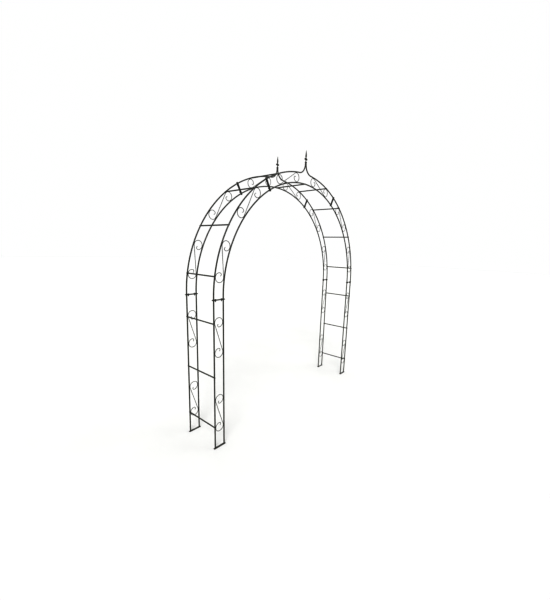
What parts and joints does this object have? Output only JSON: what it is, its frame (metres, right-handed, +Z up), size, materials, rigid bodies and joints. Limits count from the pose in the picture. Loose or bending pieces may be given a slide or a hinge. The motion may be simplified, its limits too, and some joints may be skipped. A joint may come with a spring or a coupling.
{
  "type": "metal trellis arch",
  "caption": "Free-standing round-topped garden arch: twin steel frames of paired rods with wire scrolls, joined by crossbars, spear finials at the crown.",
  "frame": {"origin": "on the ground, midway between the four feet", "axes": "+X across the walkway, +Y along it towards the rear frame, +Z up"},
  "size_m": [2.022, 0.345, 2.3468],
  "materials": {
    "frame_powder_coat": "satin black powder coat on steel rod and flat bar",
    "scroll_powder_coat": "satin black powder coat on bent steel wire",
    "black_fastener_steel": "black-coated steel hex fasteners"
  },
  "bodies": {
    "root": {"apex_crossbars": "frame_powder_coat", "crossbar_screws": "black_fastener_steel", "front_apex_inner_rod": "frame_powder_coat", "front_apex_left_outer_rod": "frame_powder_coat", "front_apex_right_outer_rod": "frame_powder_coat", "front_apex_scrolls": "scroll_powder_coat", "front_apex_splice_bars": "frame_powder_coat", "front_finial": "frame_powder_coat", "front_left_curve_inner_rod": "frame_powder_coat", "front_left_curve_lower_splice_bar": "frame_powder_coat", "front_left_curve_outer_rod": "frame_powder_coat", "front_left_curve_scrolls": "scroll_powder_coat", "front_left_curve_upper_splice_bar": "frame_powder_coat", "front_left_leg_foot_bar": "frame_powder_coat", "front_left_leg_inner_rod": "frame_powder_coat", "front_left_leg_outer_rod": "frame_powder_coat", "front_left_leg_scrolls": "scroll_powder_coat", "front_left_leg_splice_bar": "frame_powder_coat", "front_right_curve_inner_rod": "frame_powder_coat", "front_right_curve_lower_splice_bar": "frame_powder_coat", "front_right_curve_outer_rod": "frame_powder_coat", "front_right_curve_scrolls": "scroll_powder_coat", "front_right_curve_upper_splice_bar": "frame_powder_coat", "front_right_leg_foot_bar": "frame_powder_coat", "front_right_leg_inner_rod": "frame_powder_coat", "front_right_leg_outer_rod": "frame_powder_coat", "front_right_leg_scrolls": "scroll_powder_coat", "front_right_leg_splice_bar": "frame_powder_coat", "left_curve_crossbars": "frame_powder_coat", "left_leg_crossbars": "frame_powder_coat", "rear_apex_inner_rod": "frame_powder_coat", "rear_apex_left_outer_rod": "frame_powder_coat", "rear_apex_right_outer_rod": "frame_powder_coat", "rear_apex_scrolls": "scroll_powder_coat", "rear_apex_splice_bars": "frame_powder_coat", "rear_finial": "frame_powder_coat", "rear_left_curve_inner_rod": "frame_powder_coat", "rear_left_curve_lower_splice_bar": "frame_powder_coat", "rear_left_curve_outer_rod": "frame_powder_coat", "rear_left_curve_scrolls": "scroll_powder_coat", "rear_left_curve_upper_splice_bar": "frame_powder_coat", "rear_left_leg_foot_bar": "frame_powder_coat", "rear_left_leg_inner_rod": "frame_powder_coat", "rear_left_leg_outer_rod": "frame_powder_coat", "rear_left_leg_scrolls": "scroll_powder_coat", "rear_left_leg_splice_bar": "frame_powder_coat", "rear_right_curve_inner_rod": "frame_powder_coat", "rear_right_curve_lower_splice_bar": "frame_powder_coat", "rear_right_curve_outer_rod": "frame_powder_coat", "rear_right_curve_scrolls": "scroll_powder_coat", "rear_right_curve_upper_splice_bar": "frame_powder_coat", "rear_right_leg_foot_bar": "frame_powder_coat", "rear_right_leg_inner_rod": "frame_powder_coat", "rear_right_leg_outer_rod": "frame_powder_coat", "rear_right_leg_scrolls": "scroll_powder_coat", "rear_right_leg_splice_bar": "frame_powder_coat", "right_curve_crossbars": "frame_powder_coat", "right_leg_crossbars": "frame_powder_coat", "splice_bolts": "black_fastener_steel", "splice_nuts": "black_fastener_steel"}
  },
  "joints": []
}
